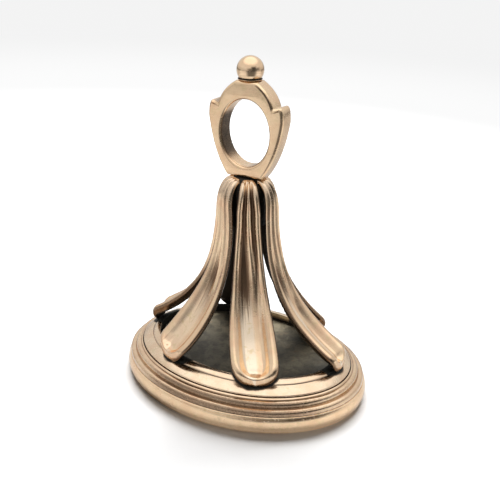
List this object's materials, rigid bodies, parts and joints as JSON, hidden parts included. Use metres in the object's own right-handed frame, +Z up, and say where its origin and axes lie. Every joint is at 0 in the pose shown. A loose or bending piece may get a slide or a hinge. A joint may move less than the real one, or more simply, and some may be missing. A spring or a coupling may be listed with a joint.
{
  "type": "fob seal",
  "caption": "Oval fob seal: a stone seal face in a moulded rolled-gold setting, with spoon-shaped petals rising to a flat pierced bow and a ball finial.",
  "frame": {"origin": "centre of the stone's flat seal face, on the surface that the seal stands on", "axes": "+Z up through the ball finial, +X along the oval's long axis and the bow's width, -Y towards the front petals"},
  "size_m": [0.028, 0.0214, 0.0354],
  "materials": {
    "seal_stone": "dark green seal stone, unpolished back with a dull mottled grain, polished blank face",
    "rolled_gold_setting": "rolled gold on brass, worn polish with fine scratches, dark tarnish in the grooves",
    "rolled_gold_petals": "rolled gold on brass, soft polish on the rims, brown-black tarnish in the channels and at the feet",
    "neck_brass": "blackened brass and old solder behind the petals",
    "rolled_gold_bow": "rolled gold on brass, satin wear on the faces and a brighter rubbed edge"
  },
  "bodies": {
    "root": {"seal_stone": "seal_stone", "bezel": "rolled_gold_setting", "moulded_ring": "rolled_gold_setting", "top_ring": "rolled_gold_setting", "petal_right": "rolled_gold_petals", "petal_right_back": "rolled_gold_petals", "petal_left_back": "rolled_gold_petals", "petal_left": "rolled_gold_petals", "petal_left_front": "rolled_gold_petals", "petal_right_front": "rolled_gold_petals", "neck_post": "neck_brass", "bow": "rolled_gold_bow", "finial_collar": "rolled_gold_bow", "ball_finial": "rolled_gold_bow"}
  },
  "joints": []
}
